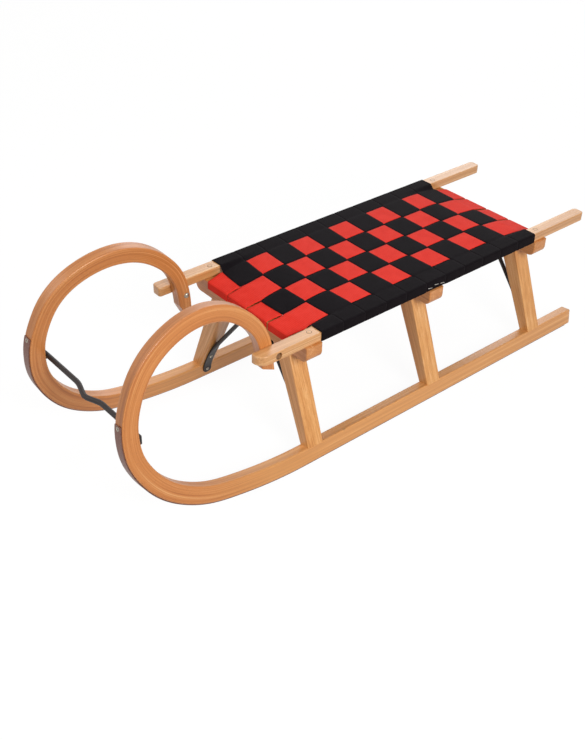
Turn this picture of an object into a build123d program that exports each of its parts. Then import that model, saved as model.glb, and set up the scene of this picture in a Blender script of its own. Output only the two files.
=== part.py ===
from build123d import *
import os
from math import cos, sin, tan, radians

# Horn sled, standing on its runners. Millimetres; +X is the way it travels, +Y its left, +Z up.
# The origin is under the middle of its box, on the snow.

# ---- driving dimensions ----
RAIL_REAR_X = -546.0      # rear ends of the seat rails
RUNNER_REAR_X = -536.0    # rear ends of the runners
# front end of each seat rail, and the rounding of its outboard and inboard front corners
RAIL_NOSES = {"left": (284.5, 20.0, 4.0), "right": (287.5, 8.0, 5.0)}

RAIL_W, RAIL_T = 24.5, 17.5
RAIL_TOP = 253.5
RAIL_OUT = 151.5          # outer faces of the seat rails
RAIL_IN = RAIL_OUT - RAIL_W
RAIL_BOTTOM = RAIL_TOP - RAIL_T

TRESTLE_PITCH = 291.0
TRESTLES = {"front": 172.5, "middle": 172.5 - TRESTLE_PITCH, "rear": 172.5 - 2 * TRESTLE_PITCH}
BEAM_X, BEAM_T, BEAM_HALF = 34.5, 30.5, 156.0
BEAM_BOTTOM = RAIL_BOTTOM - BEAM_T
BEAM_END_R = 14.0
LEG_X = 33.5              # legs, fore and aft
LEG_TOP_OUT, LEG_TOP_IN = 109.5, 70.5
# how far a foot stands forward of its beam
FOOT_SHIFT = {"front": 3.5, "middle": -2.5, "rear": -5.0}

RUNNER_W = 21.5           # across the runner
RUNNER_H = 32.0           # depth of the runner under the seat
HORN_DEPTHS = [(0, RUNNER_H), (0.25, 31.5), (0.36, 30), (0.5, 28), (0.6, 28.5), (0.72, 29.5), (0.86, 25),
               (1, 24)]
LEAN = radians(7.19)      # the runners and horns lean in
SHOE_W, SHOE_T = 18.0, 2.0
SHOE_END_Z = {"left": 237.5, "right": 247.0}        # height on the horn's middle line where each shoe ends

STRAP_T = 2.0
STRAP_W = 49.0
CROSS_STRAPS, CROSS_PITCH = 11, 49.8
WEB_FRONT_X = 155.5       # front edge of the foremost cross strap
LONG_STRAPS, LONG_PITCH, LONG_W = 4, 58.0, 53.0
LONG_MID_Y = 2.0          # middle of the four long straps
FOLD_DROP = 13.0          # how far the long straps hang down the outer beams' faces

ROD_D = 9.0
BRACE_D = 8.0
BOLT_HEAD_R = 5.5
BOLT_RECESS, BOLT_RECESS_R = 8.0, 6.3               # the counterbore that holds its nut
BOLT_TILT = radians(12)   # the horn bolts slope down towards the middle of the sled
BOLT_WAY = Vector(0, cos(BOLT_TILT), sin(BOLT_TILT))
BOLT_OUT = Vector(245.5, RAIL_OUT, 244.75)          # middle of the bolt's hole in the rail's outer face

# ---- the lean of the runners: up along the leaning side, and straight out of it ----
UP = Vector(0, -sin(LEAN), cos(LEAN))
OUT = Vector(0, cos(LEAN), sin(LEAN))
# the inner lower corner of each steel shoe carries the sled
SOLE_OUT_Z = SHOE_T + (RUNNER_W / 2 + SHOE_W / 2) * sin(LEAN)
SOLE_OUT = Vector(0, 174.8, SOLE_OUT_Z)


def on_runner(x, h, inward=0.0):
    """A point on the middle of the left runner's width, h up its lean from the wooden sole."""
    return SOLE_OUT + Vector(x, 0, 0) + UP * h - OUT * (RUNNER_W / 2) - Vector(0, inward, 0)


# Middle line of the bent stretch: x, height up the lean, how far it is drawn in sideways.
STRAIGHT_END_X = 200.0
HORN_LINE = [
    (STRAIGHT_END_X, RUNNER_H / 2, 0),
    (300, 22.5, 0),
    (349.5, 30, 0),
    (397.8, 41.5, 0),
    (437, 59.8, 0),
    (469, 82.8, 0),
    (493.8, 110, -0.4),
    (512.5, 140.4, -0.9),
    (524.6, 172.2, -1.5),
    (528.3, 205, -2.3),
    (525.3, 239, -3.3),
    (514.5, 271.5, -4.2),
    (497.5, 302.5, -4.7),
    (472.5, 328, -4),
    (439, 346.5, -2),
    (400.5, 356.4, 0.8),
    (360.5, 355.2, 3.6),
    (323.5, 342, 6.4),
    (290.5, 317, 9.2),
    (264.5, 284, 12.4),
    (252, 249, 16.8),
    (247, 206, 22),
    (246, 191, 23.2),
]
# x and height where each horn's end is sawn, along the saw cut from behind to in front
HORN_CUTS = {"left": ((222.0, 194.0), (272.0, 217.0)), "right": ((240.0, 178.0), (272.0, 241.0))}
EDGE_R = 2.2              # rounding of the runners' long edges
SECTIONS = 30

with BuildLine() as horn_line:
    Spline(*[on_runner(*p) for p in HORN_LINE], tangents=[(1, 0, 0), (-0.05, -0.03, -1)])


def horn_plane(t):
    """The plane across the horn at t along its middle line, x across its width and y along its depth."""
    at, along = horn_line.edge() @ t, horn_line.edge() % t
    lean = LEAN * (1 - min(1.0, max(0.0, (t - 0.76) / 0.12)))   # the end stands upright against the rail
    across = Vector(0, cos(lean), sin(lean))
    across = (across - along * across.dot(along)).normalized()
    return Plane(origin=at, x_dir=across, z_dir=along)


def depth(t):
    """The horn's depth at t along it."""
    for (t0, d0), (t1, d1) in zip(HORN_DEPTHS, HORN_DEPTHS[1:]):
        if t <= t1:
            return d0 + (d1 - d0) * (t - t0) / (t1 - t0)
    return HORN_DEPTHS[-1][1]


def horn_at(z, start, end):
    """t on the horn's line, between start and end, where it is z above the snow."""
    steps = [start + (end - start) * i / 400 for i in range(401)]
    return min(steps, key=lambda t: abs((horn_line.edge() @ t).Z - z))


# ---- runners, each bent up into its horn from one piece of beech ----
with BuildPart() as bent_bar:
    with BuildSketch(horn_plane(0).offset(RUNNER_REAR_X - STRAIGHT_END_X)):
        RectangleRounded(RUNNER_W, RUNNER_H, EDGE_R)
    extrude(amount=STRAIGHT_END_X - RUNNER_REAR_X)
    for i in range(SECTIONS + 1):
        with BuildSketch(horn_plane(i / SECTIONS)):
            RectangleRounded(RUNNER_W, depth(i / SECTIONS), EDGE_R)
    loft()
    # the end is faced where it lies against the seat rail
    with BuildSketch(Plane.XZ.offset(-RAIL_IN)):
        with Locations((255, 240)):
            Rectangle(90, 100)
    extrude(amount=-20, mode=Mode.SUBTRACT)
    with Locations(Plane(origin=BOLT_OUT, z_dir=BOLT_WAY)):
        Hole(3.2, 80)

# the horns' tips are sawn at a slant, the right one only at its front corner
runners = {}
for runner_side, (behind, ahead) in HORN_CUTS.items():
    with BuildPart() as runner:
        add(bent_bar.part)
        with BuildSketch(Plane.XZ.offset(-RAIL_IN - 1)):
            with BuildLine():
                Polyline(behind, ahead, (ahead[0], 170), (behind[0], 170), close=True)
            make_face()
        extrude(amount=40, mode=Mode.SUBTRACT)
    runners[runner_side] = runner.part

# ---- steel shoes under the runners and up the front of the horns ----
shoes = {}
for shoe_side, end_z in SHOE_END_Z.items():
    reach = horn_at(end_z, 0.3, 0.6)
    with BuildPart() as shoe:
        with BuildSketch(horn_plane(0).offset(RUNNER_REAR_X + 3 - STRAIGHT_END_X)):
            with Locations((0, -RUNNER_H / 2 - SHOE_T / 2 + 0.5)):
                Rectangle(SHOE_W, SHOE_T + 1)
        extrude(amount=STRAIGHT_END_X - RUNNER_REAR_X - 3)
        for i in range(16):
            t = i / 15 * reach
            with BuildSketch(horn_plane(t)):
                with Locations((0, -depth(t) / 2 - SHOE_T / 2 + 0.5)):
                    Rectangle(SHOE_W, SHOE_T + 1)
        loft()
        add(bent_bar.part, mode=Mode.SUBTRACT)
    shoes[shoe_side] = shoe.part

# ---- seat rails ----
seat_rails = {}
for rail_side, (nose_x, outboard_r, inboard_r) in RAIL_NOSES.items():
    with BuildPart() as seat_rail:
        with BuildSketch(Plane.XY.offset(RAIL_BOTTOM)) as plan:
            with Locations(((nose_x + RAIL_REAR_X) / 2, (RAIL_OUT + RAIL_IN) / 2)):
                Rectangle(nose_x - RAIL_REAR_X, RAIL_W)
            fillet(plan.vertices().group_by(Axis.X)[-1].sort_by(Axis.Y)[-1], outboard_r)
            fillet(plan.vertices().group_by(Axis.X)[-1].sort_by(Axis.Y)[0], inboard_r)
            fillet(plan.vertices().filter_by(lambda v: v.X < RAIL_REAR_X + 1), 8)
        extrude(amount=RAIL_T)
        fillet(seat_rail.edges().group_by(Axis.Z)[-1], 1.8)
        fillet(seat_rail.edges().group_by(Axis.Z)[0], 1.8)
        with Locations(Plane(origin=BOLT_OUT + BOLT_WAY * 2, z_dir=BOLT_WAY)):
            CounterBoreHole(3.2, BOLT_RECESS_R, 2 + BOLT_RECESS, 60)
    seat_rails[rail_side] = seat_rail.part

# ---- trestles: a crossbeam on two splayed legs ----
with BuildPart() as crossbeam:
    with BuildSketch(Plane.YZ) as beam_front:
        with Locations((0, BEAM_BOTTOM + BEAM_T / 2)):
            Rectangle(2 * BEAM_HALF, BEAM_T)
        fillet(beam_front.vertices().group_by(Axis.Y)[0], BEAM_END_R)
    extrude(amount=BEAM_X / 2, both=True)
    fillet(crossbeam.edges().filter_by(Axis.Z), 2)

foot_mid = on_runner(0, RUNNER_H) + OUT * 0.5
FOOT_W, LEG_TOP_W = RUNNER_W + 2, LEG_TOP_OUT - LEG_TOP_IN
legs = {}
for trestle, foot_shift in FOOT_SHIFT.items():
    with BuildPart() as leg:
        with BuildSketch(Plane(origin=foot_mid + Vector(foot_shift, 0, 0), x_dir=(1, 0, 0), z_dir=UP)):
            RectangleRounded(LEG_X, FOOT_W, 2)
        with BuildSketch(Plane(origin=(0, (LEG_TOP_OUT + LEG_TOP_IN) / 2, BEAM_BOTTOM), x_dir=(1, 0, 0))):
            RectangleRounded(LEG_X, LEG_TOP_W, 2)
        loft()
    legs[trestle] = leg.part

# ---- steel braces from the feet of the outer trestles to the middle of their beams ----
BRACE_TAB_W, BRACE_TAB_T = 18.0, 3.0
foot_in = foot_mid - OUT * (FOOT_W / 2)
inner = Vector(0, LEG_TOP_IN - foot_in.Y, BEAM_BOTTOM - foot_in.Z).normalized()
tab_low = foot_in - UP * 20 - OUT * (BRACE_TAB_T / 2 + 0.1)
tab_knee = foot_in - Vector(0, inner.Z, -inner.Y) * (BRACE_TAB_T / 2 + 0.1)
tab_top = tab_knee + inner * 38
rod_z = BEAM_BOTTOM - BRACE_D / 2 - 0.2
braces = {}
for trestle in ("front", "rear"):
    along = Vector(FOOT_SHIFT[trestle], 0, 0)
    with BuildPart() as brace:
        with BuildSketch(Plane.YZ.offset(along.X)) as tab_side:
            with BuildLine():
                Polyline((tab_low.Y, tab_low.Z), (tab_knee.Y, tab_knee.Z), (tab_top.Y, tab_top.Z))
            trace(line_width=BRACE_TAB_T)
        extrude(amount=BRACE_TAB_W / 2, both=True)
        with BuildLine() as rod_line:
            FilletPolyline(*[along + Vector(*p) for p in (tab_top - inner * 9 - Vector(0, 3, 0), (0, 117, 92),
                                                          (0, 29, rod_z), (0, 9, rod_z))], radius=[60, 12])
        with BuildSketch(Plane(origin=rod_line.wire() @ 0, z_dir=rod_line.wire() % 0)):
            Circle(BRACE_D / 2)
        sweep()
        add(legs[trestle], mode=Mode.SUBTRACT)
    braces[trestle] = brace.part

# ---- pull rod across the inner rims of the horns, its flattened ends screwed to them ----
ROD_Z = 206.0
BEND_HALF, BEND_FORWARD = 34.0, 10.0
ROD_PAD = (4.5, 17.0, 18.0)                         # thickness, height, length over the rim
rim_t = horn_at(ROD_Z, 0.3, 0.6)
rim_at = horn_plane(rim_t).origin + horn_plane(rim_t).y_dir * (depth(rim_t) / 2)
ROD_X = rim_at.X - ROD_D / 2 + 0.4
with BuildPart() as pull_rod:
    with BuildLine() as pull_line:
        FilletPolyline((ROD_X, -rim_at.Y + 8, ROD_Z), (ROD_X, -BEND_HALF, ROD_Z),
                       (ROD_X + BEND_FORWARD, 0, ROD_Z - 3),
                       (ROD_X, BEND_HALF, ROD_Z), (ROD_X, rim_at.Y - 8, ROD_Z), radius=9)
    with BuildSketch(Plane(origin=pull_line.wire() @ 0, z_dir=(0, 1, 0))):
        Circle(ROD_D / 2)
    sweep()
    with Locations([(rim_at.X - ROD_PAD[0] / 2 + 1, side * (rim_at.Y - 2), ROD_Z) for side in (1, -1)]):
        Box(ROD_PAD[0], ROD_PAD[2], ROD_PAD[1])
    add(bent_bar.part, mode=Mode.SUBTRACT)
    add(mirror(bent_bar.part, about=Plane.XZ, mode=Mode.PRIVATE), mode=Mode.SUBTRACT)

# ---- bolts that hold the horns to the rails ----
horn_face_y = (horn_line.edge() @ horn_at(235, 0.8, 1)).Y - RUNNER_W / 2
bolt_length = (RAIL_OUT - horn_face_y) / cos(BOLT_TILT)
head_at = BOLT_OUT - BOLT_WAY * bolt_length
with BuildPart() as horn_bolt:
    with BuildSketch(Plane(origin=head_at, z_dir=BOLT_WAY)):
        Circle(3)
    extrude(amount=bolt_length - 2)
    with BuildSketch(Plane(origin=BOLT_OUT - BOLT_WAY * BOLT_RECESS, z_dir=BOLT_WAY)):
        RegularPolygon(4.8, 6)
    extrude(amount=5)
    # the domed head lies on the horn's inboard face
    with BuildSketch(Plane(origin=head_at, x_dir=(1, 0, 0), z_dir=Vector(1, 0, 0).cross(-BOLT_WAY))):
        with BuildLine():
            Polyline((0, -1.5), (0, 3.5))
            ThreePointArc((0, 3.5), (4, 2.1), (BOLT_HEAD_R, 0))
            Polyline((BOLT_HEAD_R, 0), (BOLT_HEAD_R, -1.5), (0, -1.5))
        make_face()
    revolve(axis=Axis(head_at, BOLT_WAY))
    add(bent_bar.part, mode=Mode.SUBTRACT)

# ---- webbing ----
strap_out = RAIL_OUT + STRAP_T
with BuildPart() as cross_strap:
    with BuildSketch(Plane.YZ) as wrap:
        with BuildLine():
            FilletPolyline((RAIL_IN + 4, RAIL_BOTTOM - STRAP_T / 2),
                           (strap_out - STRAP_T / 2, RAIL_BOTTOM - STRAP_T / 2),
                           (strap_out - STRAP_T / 2, RAIL_TOP + STRAP_T / 2),
                           (-strap_out + STRAP_T / 2, RAIL_TOP + STRAP_T / 2),
                           (-strap_out + STRAP_T / 2, RAIL_BOTTOM - STRAP_T / 2),
                           (-RAIL_IN - 4, RAIL_BOTTOM - STRAP_T / 2), radius=2.5)
        trace(line_width=STRAP_T)
    extrude(amount=STRAP_W / 2, both=True)

with BuildPart() as middle_strap:
    with BuildSketch(Plane.YZ):
        with BuildLine():
            FilletPolyline((strap_out - STRAP_T / 2, RAIL_BOTTOM),
                           (strap_out - STRAP_T / 2, RAIL_TOP + STRAP_T / 2),
                           (-strap_out + STRAP_T / 2, RAIL_TOP + STRAP_T / 2),
                           (-strap_out + STRAP_T / 2, RAIL_BOTTOM), radius=2.5)
        trace(line_width=STRAP_T)
    extrude(amount=STRAP_W / 2, both=True)

LONG_Z = RAIL_TOP - STRAP_T / 2 - 0.2
beam_front_x = TRESTLES["front"] + BEAM_X / 2
beam_rear_x = TRESTLES["rear"] - BEAM_X / 2
web_rear_x = WEB_FRONT_X - CROSS_STRAPS * CROSS_PITCH
fold_z = RAIL_BOTTOM + STRAP_T / 2
with BuildPart() as long_strap:
    with BuildSketch(Plane.XZ):
        with BuildLine():
            FilletPolyline((beam_front_x + STRAP_T / 2, RAIL_BOTTOM - FOLD_DROP),
                           (beam_front_x + STRAP_T / 2, fold_z + 0.5),
                           (WEB_FRONT_X + 2, LONG_Z), (web_rear_x - 2, LONG_Z),
                           (beam_rear_x - STRAP_T / 2, fold_z + 0.5),
                           (beam_rear_x - STRAP_T / 2, RAIL_BOTTOM - FOLD_DROP),
                           radius=1.2)
        trace(line_width=STRAP_T)
    extrude(amount=LONG_W / 2, both=True)
    with BuildSketch(Plane.XY.offset(RAIL_BOTTOM - 40)):
        with Locations((TRESTLES["front"], 0), (TRESTLES["rear"], 0)):
            Rectangle(BEAM_X, 60)
    extrude(amount=40, mode=Mode.SUBTRACT)

# ---- write the pieces ----
os.makedirs("parts", exist_ok=True)


def save(part, name):
    part.label = name
    export_step(part, f"parts/{name}.step")


def right_of(part):
    return mirror(part, about=Plane.XZ)


for side, mirrored in (("left", False), ("right", True)):
    for shape, name in ((runners[side], "runner"), (shoes[side], "runner_shoe"),
                        (seat_rails[side], "seat_rail"), (horn_bolt.part, "horn_bolt")):
        save(right_of(shape) if mirrored else shape, f"{name}_{side}")
    for place, x in TRESTLES.items():
        placed = legs[place].moved(Location((x, 0, 0)))
        save(right_of(placed) if mirrored else placed, f"leg_{place}_{side}")
        if place != "middle":
            placed = braces[place].moved(Location((x, 0, 0)))
            save(right_of(placed) if mirrored else placed, f"brace_{place}_{side}")
for place, x in TRESTLES.items():
    save(crossbeam.part.moved(Location((x, 0, 0))), f"crossbeam_{place}")
save(pull_rod.part, "pull_rod")
for i in range(CROSS_STRAPS):
    x = WEB_FRONT_X - (i + 0.5) * CROSS_PITCH
    shape = middle_strap if abs(x - TRESTLES["middle"]) < BEAM_X / 2 + STRAP_W / 2 else cross_strap
    save(shape.part.moved(Location((x, 0, 0))), f"cross_strap_{i + 1:02d}")
for i in range(LONG_STRAPS):
    y = LONG_MID_Y + (i - (LONG_STRAPS - 1) / 2) * LONG_PITCH
    save(long_strap.part.moved(Location((0, y, 0))), f"long_strap_{i + 1}")
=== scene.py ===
import math
import bmesh
import bpy
import numpy as np
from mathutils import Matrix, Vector


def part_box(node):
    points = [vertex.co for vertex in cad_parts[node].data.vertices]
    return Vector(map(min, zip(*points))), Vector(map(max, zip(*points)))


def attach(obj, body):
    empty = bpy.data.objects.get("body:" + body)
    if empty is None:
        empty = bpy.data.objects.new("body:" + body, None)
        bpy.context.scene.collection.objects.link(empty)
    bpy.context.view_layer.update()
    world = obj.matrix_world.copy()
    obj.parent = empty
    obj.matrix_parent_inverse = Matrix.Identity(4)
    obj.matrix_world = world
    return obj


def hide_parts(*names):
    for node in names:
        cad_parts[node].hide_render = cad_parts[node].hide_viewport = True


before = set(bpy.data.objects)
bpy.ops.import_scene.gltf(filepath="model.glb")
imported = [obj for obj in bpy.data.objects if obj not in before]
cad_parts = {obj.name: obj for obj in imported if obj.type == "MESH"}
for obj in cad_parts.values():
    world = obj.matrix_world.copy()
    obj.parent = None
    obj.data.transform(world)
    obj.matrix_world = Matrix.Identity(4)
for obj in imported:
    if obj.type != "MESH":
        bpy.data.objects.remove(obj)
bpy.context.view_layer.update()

# Horn sled: steam-bent beech runners and horns, splayed legs on crossbeams, black steel bars and a woven
# webbing seat. The sizes below are in mm; meshes are stored in metres.
MM = 0.001
LEFT, RIGHT = 1, -1
SIDES = (("left", LEFT), ("right", RIGHT))


# ---------------------------------------------------------------- places read from the frame
def box_mm(node):
    low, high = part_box(node)
    return np.array(low) / MM, np.array(high) / MM


RAIL_LOW, RAIL_HIGH = box_mm("seat_rail_left")
RAIL_IN, RAIL_OUT = RAIL_LOW[1], RAIL_HIGH[1]
RAIL_BOTTOM, RAIL_TOP = RAIL_LOW[2], RAIL_HIGH[2]
RUNNER_REAR_X = box_mm("runner_left")[0][0]
BEAMS = {place: box_mm(f"crossbeam_{place}") for place in ("front", "middle", "rear")}
TRESTLE_X = {place: (low[0] + high[0]) / 2 for place, (low, high) in BEAMS.items()}
BEAM_BOTTOM, BEAM_TOP = BEAMS["front"][0][2], BEAMS["front"][1][2]
BOLT_LOW, BOLT_HIGH = box_mm("horn_bolt_left")

# ---------------------------------------------------------------- runners, horns and shoes
RUNNER_W, RUNNER_H, RUNNER_EDGE = 21.5, 32.0, 2.2
SOLE_Y = 174.8
SHOE_W, SHOE_T, SHOE_SUNK = 18.0, 2.0, 0.1
SHOE_TOP = {side_name: box_mm(f"runner_shoe_{side_name}")[1][2] for side_name, _ in SIDES}
LEAN = math.radians(7.19)
UP = np.array([0, -math.sin(LEAN), math.cos(LEAN)])
OUT = np.array([0, math.cos(LEAN), math.sin(LEAN)])
SOLE = np.array([0, SOLE_Y, SHOE_T + (RUNNER_W / 2 + SHOE_W / 2) * math.sin(LEAN)])
STRAIGHT_END_X, STRAIGHT_ROWS = 200.0, 60
# the bend's middle line: x, height above the sole, and how far inwards of the leaning runner it lies
HORN_LINE = [
    (STRAIGHT_END_X, RUNNER_H / 2, 0), (300, 22.5, 0), (349.5, 30, 0), (397.8, 41.5, 0),
    (437, 59.8, 0), (469, 82.8, 0), (493.8, 110, -0.4), (512.5, 140.4, -0.9),
    (524.6, 172.2, -1.5), (528.3, 205, -2.3), (525.3, 239, -3.3), (514.5, 271.5, -4.2),
    (497.5, 302.5, -4.7), (472.5, 328, -4), (439, 346.5, -2), (400.5, 356.4, 0.8),
    (360.5, 355.2, 3.6), (323.5, 342, 6.4), (290.5, 317, 9.2), (264.5, 284, 12.4),
    (252, 249, 16.8), (247, 206, 22), (246, 191, 23.2),
]
HORN_END_WAY = (-0.05, -0.03, -1)
ROWS_PER_SPAN = 14
# the bend's depth, at shares of its length
HORN_DEPTHS = ([0, 0.25, 0.36, 0.5, 0.6, 0.72, 0.86, 1], [RUNNER_H, 31.5, 30, 28, 28.5, 29.5, 25, 24])
UPRIGHT_FROM, UPRIGHT_OVER = 0.76, 0.12         # shares of the bend where it turns from leaning to upright
HORN_END_X, HORN_END_Z = (200, 310), (150, 300)     # the part of the horn that is faced against its rail
# x and height where each horn's end is sawn, along the saw cut from behind to in front
HORN_CUTS = {LEFT: ((222.0, 194.0), (272.0, 217.0)), RIGHT: ((240.0, 178.0), (272.0, 241.0))}
OTHER_BOARD = 1300.0                            # grain shift, so that the two runners aren't alike

# ---------------------------------------------------------------- pull rod and braces
ROD_D, ROD_Z, ROD_BEND_HALF, ROD_BEND, ROD_SAG, ROD_RADIUS = 9.0, 206.0, 34.0, 10.0, 3.0, 8.0
PAD_T, PAD_H, PAD_L, PAD_PAST_HORN, PAD_TAPER = 4.0, 17.0, 13.0, 9.0, 6.0
BRACE_D, TAB_W, TAB_T, TAB_CLEAR = 8.0, 18.0, 3.0, 0.1
TAB_BELOW, TAB_ABOVE = 20.0, 36.0               # the tab's length down the runner and up the leg
TAB_ROUND = 8.0                                 # length over which the tab's lower end is rounded
FORGED_FROM, FORGED_OVER = 48.0, 62.0           # where along a brace its tab is drawn down to a round bar
LEAVES_LEG = (0, 117.5, 91.5)                   # where the bar turns away from the leg, to cross to the beam
BEAM_PAD_Y, BEAM_SCREW_Y, BEAM_END_Y = 29.0, 17.0, 9.0      # the bar's flattened top, under the beam
TOP_PAD_L, TOP_PAD_TAPER, TOP_PAD_LIFT = 20.0, 8.0, 2.0
LEG_TOP_IN = 70.5                               # how far out a leg's inner face meets its beam
FOOT_SHIFT = {"front": 3.5, "rear": -5.0}       # how far a foot, and its brace, stands forward of its beam
LEFT_BRACE_SHIFT = 2.5                          # how much further forward the left braces' feet stand

# ---------------------------------------------------------------- webbing
STRAP_T, LONG_T = 1.5, 1.2
CROSS_PITCH, CROSS_W, CROSS_COUNT = 49.8, 49.75, 11
WEB_FRONT_X = 155.5
LONG_PITCH, LONG_W, LONG_COUNT, LONG_MID_Y = 58.0, 53.0, 4, 2.0
PRESSED_WIDER = 3.0                         # how much wider a strap is where it is pressed flat
LIFT = 0.9                                  # how far a strap rises or dips at a crossing
WEAVE_Z = RAIL_TOP + 0.6                    # middle of the weave
# the seat's ends droop over their last stretch, and on past the outermost strap by a fifth of it at most
DROOP_FRONT, DROOP_REAR, DROOP_REACH, DROOP_POWER, DROOP_PAST = 8.5, 8.0, 85.0, 1.5, 1.2
# the cross straps bow forwards, by more in the front of the seat, and slightly more on the right
BOW, BOW_FRONT, BOW_FRONT_X, BOW_FADE, BOW_TILT = 4.5, 3.6, 105.0, 60.0, 0.1
SOFT_CROSS, SOFT_LONG = 3.2, 2.6            # how gently a strap steps from over to under
REST_Y, REST_OVER = 117.0, 8.0              # where the cross straps rise from the weave on to the rails
LEAD_IN = 12.0                              # how far in from the rails the seat takes its woven shape
RIB_BLACK, RIB_RED = 2.2, 3.2               # pitch of the webbing's ribs
RIB_H_BLACK, RIB_H_RED = 0.05, 0.09         # and their height
RAIL_FOLD, BEAM_FOLD = 3.6, 2.6             # how far from a corner a strap starts to bend round it
CROSS_STEP, LONG_STEP = 0.8, 0.6            # spacing of a strap's rows of points
# the red straps' woven part starts and ends this far forward of the cross straps' outermost edges
LONG_LEAD_FRONT, LONG_LEAD_REAR = 7.5, 2.5
FOLD_DROP = 13.0                            # how far the red straps hang down the beams
# the red straps draw together where they fold over the front beam, and the first widens towards its rail
FOLD_SHIFT = (-1.0, -4.5, -7.0, -8.0)
FLARE, FLARE_X, FLARE_OVER = 4.5, 115.0, 35.0


# ---------------------------------------------------------------- small tools
def colour(code):
    """An sRGB hex colour as linear red, green, blue and alpha."""
    parts = [int(code[i:i + 2], 16) / 255 for i in (1, 3, 5)]
    return tuple(c / 12.92 if c <= 0.04045 else ((c + 0.055) / 1.055) ** 2.4 for c in parts) + (1.0,)


def add(tree, kind, inputs=(), stops=(), **settings):
    """Adds a node with its settings; an input is linked where its value is another node's output."""
    node = tree.nodes.new(kind)
    for name, value in settings.items():
        setattr(node, name, value)
    for name, value in dict(inputs).items():
        if isinstance(value, bpy.types.NodeSocket):
            tree.links.new(value, node.inputs[name])
        else:
            node.inputs[name].default_value = value
    for i, (place, tone) in enumerate(stops):
        stop = node.color_ramp.elements[i] if i < 2 else node.color_ramp.elements.new(place)
        stop.position, stop.color = place, colour(tone)
    return node


def new_finish(name):
    """An empty material and its node tree."""
    mat = bpy.data.materials.new(name)
    mat.use_nodes = True
    mat.node_tree.nodes.clear()
    return mat, mat.node_tree


def put_in_scene(name, data):
    thing = bpy.data.objects.new(name, data)
    bpy.context.scene.collection.objects.link(thing)
    return thing


def unit(v):
    return v / np.linalg.norm(v, axis=-1, keepdims=True)


def ramp(value, start, length):
    """0 up to the start, 1 from a length past it, and even between."""
    return np.clip((value - start) / length, 0, 1)


def eased(share):
    """A share from 0 to 1 with a soft start and end."""
    return share * share * (3 - 2 * share)


def travelled(path):
    """How far along the path each of its points lies."""
    return np.concatenate([[0], np.cumsum(np.linalg.norm(np.diff(path, axis=0), axis=1))])


def directions(path):
    return unit(np.gradient(path, axis=0))


def new_mesh(name, verts_mm, faces, material, grain=None, angle=35):
    """A mesh object from points in mm, with its faces turned outwards and its grain stored on its points."""
    mesh = bpy.data.meshes.new(name)
    mesh.from_pydata((np.asarray(verts_mm) * MM).tolist(), [], faces)
    if grain is not None:
        store = mesh.attributes.new("grain", "FLOAT_VECTOR", "POINT")
        store.data.foreach_set("vector", (np.asarray(grain, np.float32) * MM).ravel())
    work = bmesh.new()
    work.from_mesh(mesh)
    bmesh.ops.recalc_face_normals(work, faces=work.faces)
    work.to_mesh(mesh)
    work.free()
    mesh.polygons.foreach_set("use_smooth", [True] * len(mesh.polygons))
    mesh.set_sharp_from_angle(angle=math.radians(angle))
    mesh.materials.append(material)
    return put_in_scene(name, mesh)


def tube_faces(rows, count):
    """The faces of a closed tube of so many rows of so many points, with its two ends."""
    faces = []
    for i in range(rows - 1):
        for j in range(count):
            k = (j + 1) % count
            faces.append((i * count + j, i * count + k, (i + 1) * count + k, (i + 1) * count + j))
    return faces + [tuple(range(count - 1, -1, -1)), tuple(range((rows - 1) * count, rows * count))]


def place_on_sled(piece, slot, *nodes):
    """The piece goes with the sled and stands for the plain solids named; its slot is not used."""
    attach(piece, "root")
    if nodes:
        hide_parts(*nodes)
    return piece


def smooth_line(points, start, end):
    """A line through the points whose bend changes smoothly: its points, and its direction at each."""
    p = np.asarray(points, float)
    h = np.linalg.norm(np.diff(p, axis=0), axis=1)
    n = len(p)
    a, b = np.zeros((n, n)), np.zeros((n, 3))
    a[0, 0] = a[-1, -1] = 1
    b[0], b[-1] = unit(np.array(start, float)), unit(np.array(end, float))
    for i in range(1, n - 1):
        a[i, i - 1:i + 2] = h[i], 2 * (h[i - 1] + h[i]), h[i - 1]
        b[i] = 3 * (h[i] * (p[i] - p[i - 1]) / h[i - 1] + h[i - 1] * (p[i + 1] - p[i]) / h[i])
    m = np.linalg.solve(a, b)
    places, ways = [], []
    for i in range(n - 1):
        last = i == n - 2
        u = np.linspace(0, 1, ROWS_PER_SPAN + last, endpoint=last)[:, None]
        places.append((2 * u**3 - 3 * u**2 + 1) * p[i] + (u**3 - 2 * u**2 + u) * h[i] * m[i]
                      + (3 * u**2 - 2 * u**3) * p[i + 1] + (u**3 - u**2) * h[i] * m[i + 1])
        ways.append((6 * u**2 - 6 * u) * (p[i] - p[i + 1]) / h[i] + (3 * u**2 - 4 * u + 1) * m[i]
                    + (3 * u**2 - 2 * u) * m[i + 1])
    return np.concatenate(places), unit(np.concatenate(ways))


def outline(width, height, corner):
    """A rectangle with rounded corners, anticlockwise, with a point just inside each end of its flats."""
    corner = min(corner, 0.485 * width, 0.485 * height)
    flat_w, flat_h = width / 2 - corner, height / 2 - corner
    # for each corner: its two signs, the ways back and on along its flats, and half of each flat's length
    corners = (((1, 1), (0, -1), flat_h, (-1, 0), flat_w), ((-1, 1), (1, 0), flat_w, (0, -1), flat_h),
               ((-1, -1), (0, 1), flat_h, (1, 0), flat_w), ((1, -1), (-1, 0), flat_w, (0, 1), flat_h))
    points = []
    for quarter, ((sx, sy), back, back_length, on, on_length) in enumerate(corners):
        turns = [math.radians(90 * (quarter + k / 4)) for k in range(5)]
        arc = [np.array((sx * flat_w + corner * math.cos(t), sy * flat_h + corner * math.sin(t)))
               for t in turns]
        points.append(arc[0] + np.array(back) * min(0.5, 0.2 * back_length))
        points += arc
        points.append(arc[-1] + np.array(on) * min(0.5, 0.2 * on_length))
    return np.array(points)


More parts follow.
